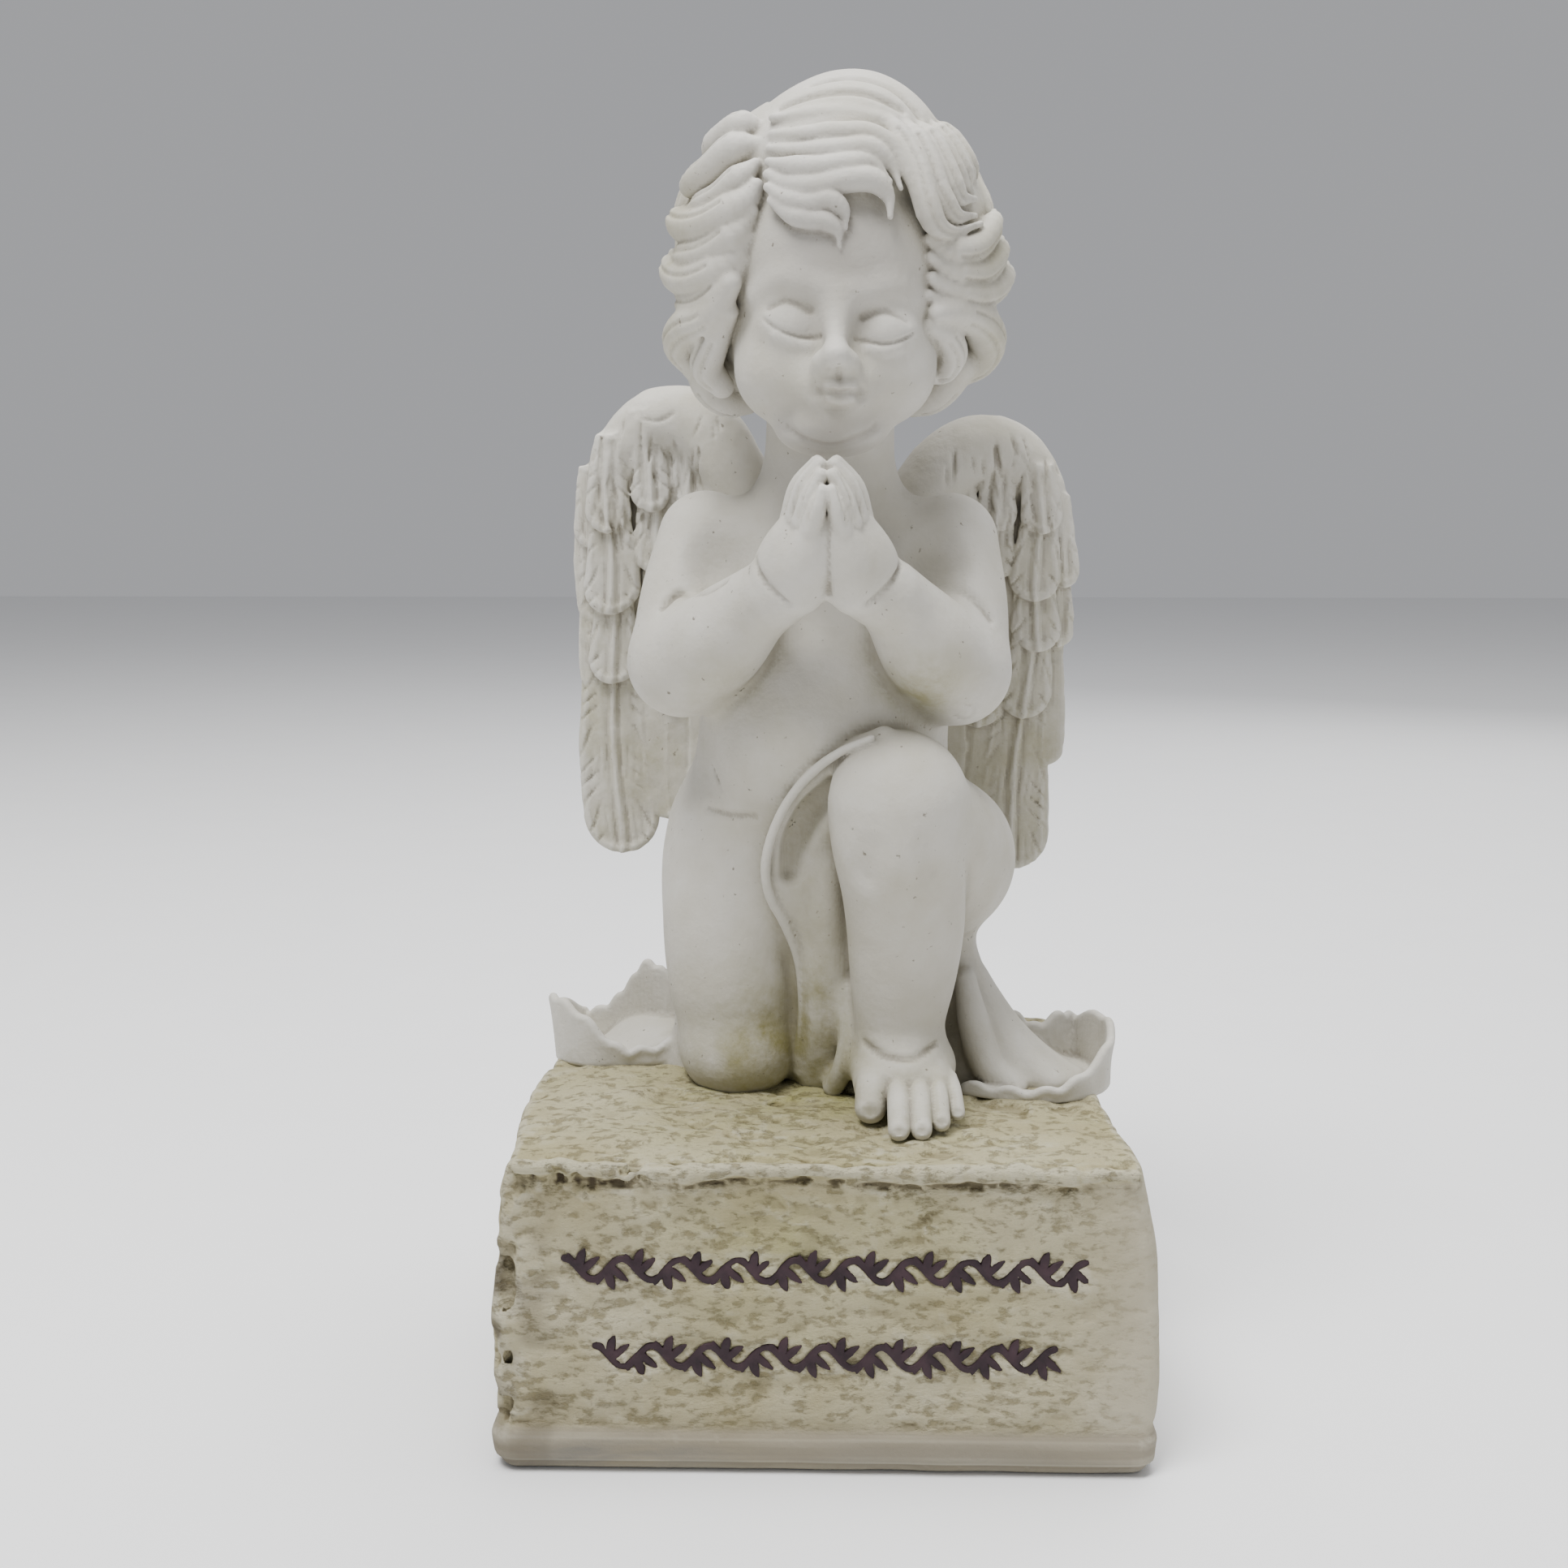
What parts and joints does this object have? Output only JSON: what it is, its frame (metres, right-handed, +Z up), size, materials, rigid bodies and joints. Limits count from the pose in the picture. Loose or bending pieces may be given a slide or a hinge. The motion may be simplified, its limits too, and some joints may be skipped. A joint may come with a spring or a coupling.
{
  "type": "praying angel figurine",
  "caption": "Cast-resin cherub with wings that kneels on one knee, palms together, on a rough stone-look block with leaf scrolls.",
  "frame": {"origin": "middle of the block's underside, where it stands", "axes": "+Z up, the angel and the ornamented face look along -Y, +X to the angel's left"},
  "size_m": [0.1152, 0.095, 0.24],
  "materials": {
    "pale_resin": "matt off-white cast resin with green-grey weathering",
    "stone_look_resin": "rough stone-look cast resin, weathered",
    "ornament_paint": "matt dark purple paint in the engraving",
    "pin_steel": "plain drawn steel"
  },
  "bodies": {
    "root": {"plinth": "stone_look_resin", "ornament_upper": "ornament_paint", "ornament_lower": "ornament_paint", "torso": "pale_resin", "head": "pale_resin", "hair_crown": "pale_resin", "forelock": "pale_resin", "right_side_curls": "pale_resin", "left_side_curls": "pale_resin", "nape_curls": "pale_resin", "right_arm": "pale_resin", "left_arm": "pale_resin", "right_hand": "pale_resin", "left_hand": "pale_resin", "right_leg": "pale_resin", "right_foot": "pale_resin", "left_leg": "pale_resin", "left_foot": "pale_resin", "drape_back": "pale_resin", "drape_front": "pale_resin", "right_drape_tail": "pale_resin", "left_drape_tail": "pale_resin", "right_wing": "pale_resin", "left_wing": "pale_resin", "knee_pin": "pin_steel", "foot_pin": "pin_steel", "right_wing_pin": "pin_steel", "left_wing_pin": "pin_steel"}
  },
  "joints": []
}
